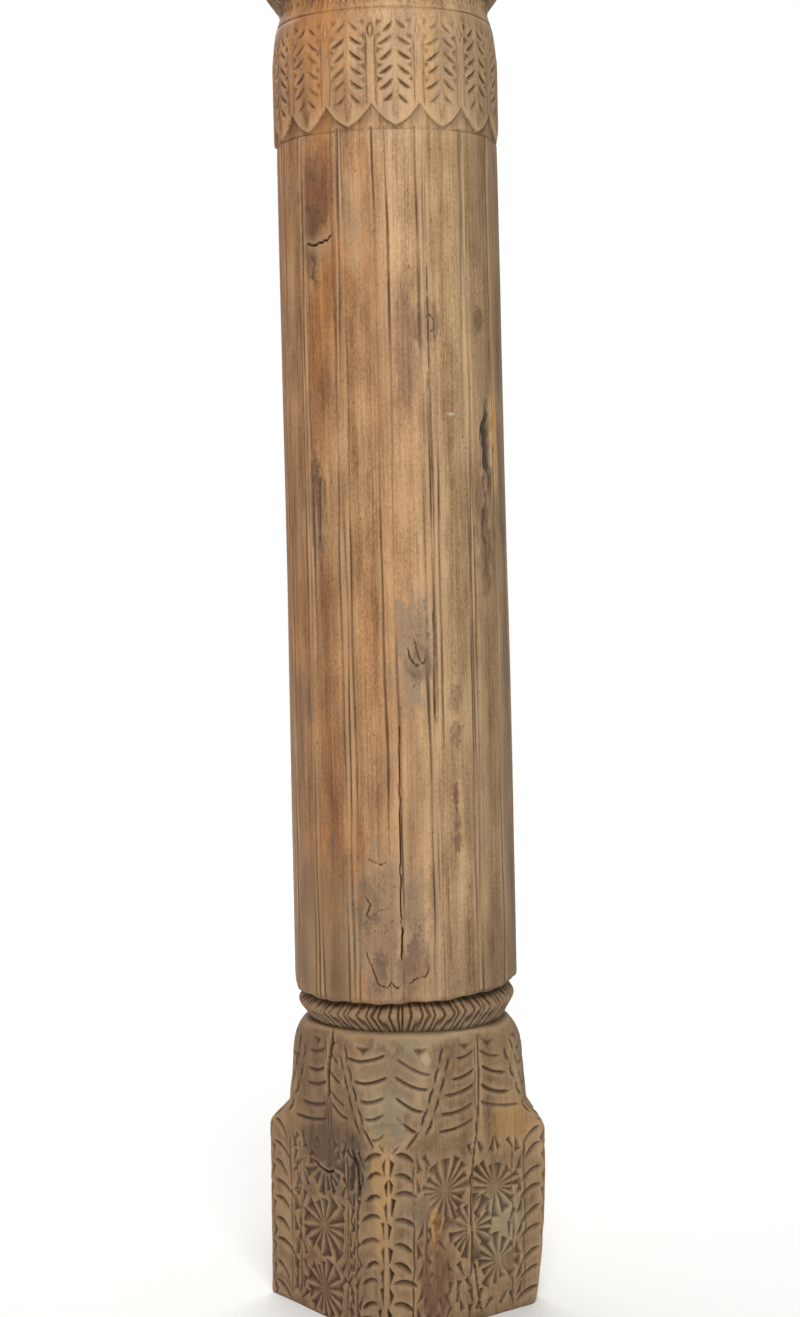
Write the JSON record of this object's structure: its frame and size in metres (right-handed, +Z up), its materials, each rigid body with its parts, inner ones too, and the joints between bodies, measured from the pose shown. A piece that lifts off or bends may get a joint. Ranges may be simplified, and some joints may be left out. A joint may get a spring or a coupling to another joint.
{
  "type": "carved wooden pillar",
  "caption": "Tall pillar carved from one log: square chip-carved foot, notched ring, many-sided shaft with incised lines, collar of pointed leaves and a notched ring under a flat top.",
  "frame": {"origin": "centre of the flat underside of the foot", "axes": "+Z up along the shaft, X and Y square to the faces of the foot, with the pictured corner between -X and -Y"},
  "size_m": [0.2796, 0.2796, 1.6],
  "materials": {
    "aged_wood": "aged, hand-carved, dry waxed surface with dark dirt in the cuts"
  },
  "bodies": {
    "root": {"pillar": "aged_wood"}
  },
  "joints": []
}
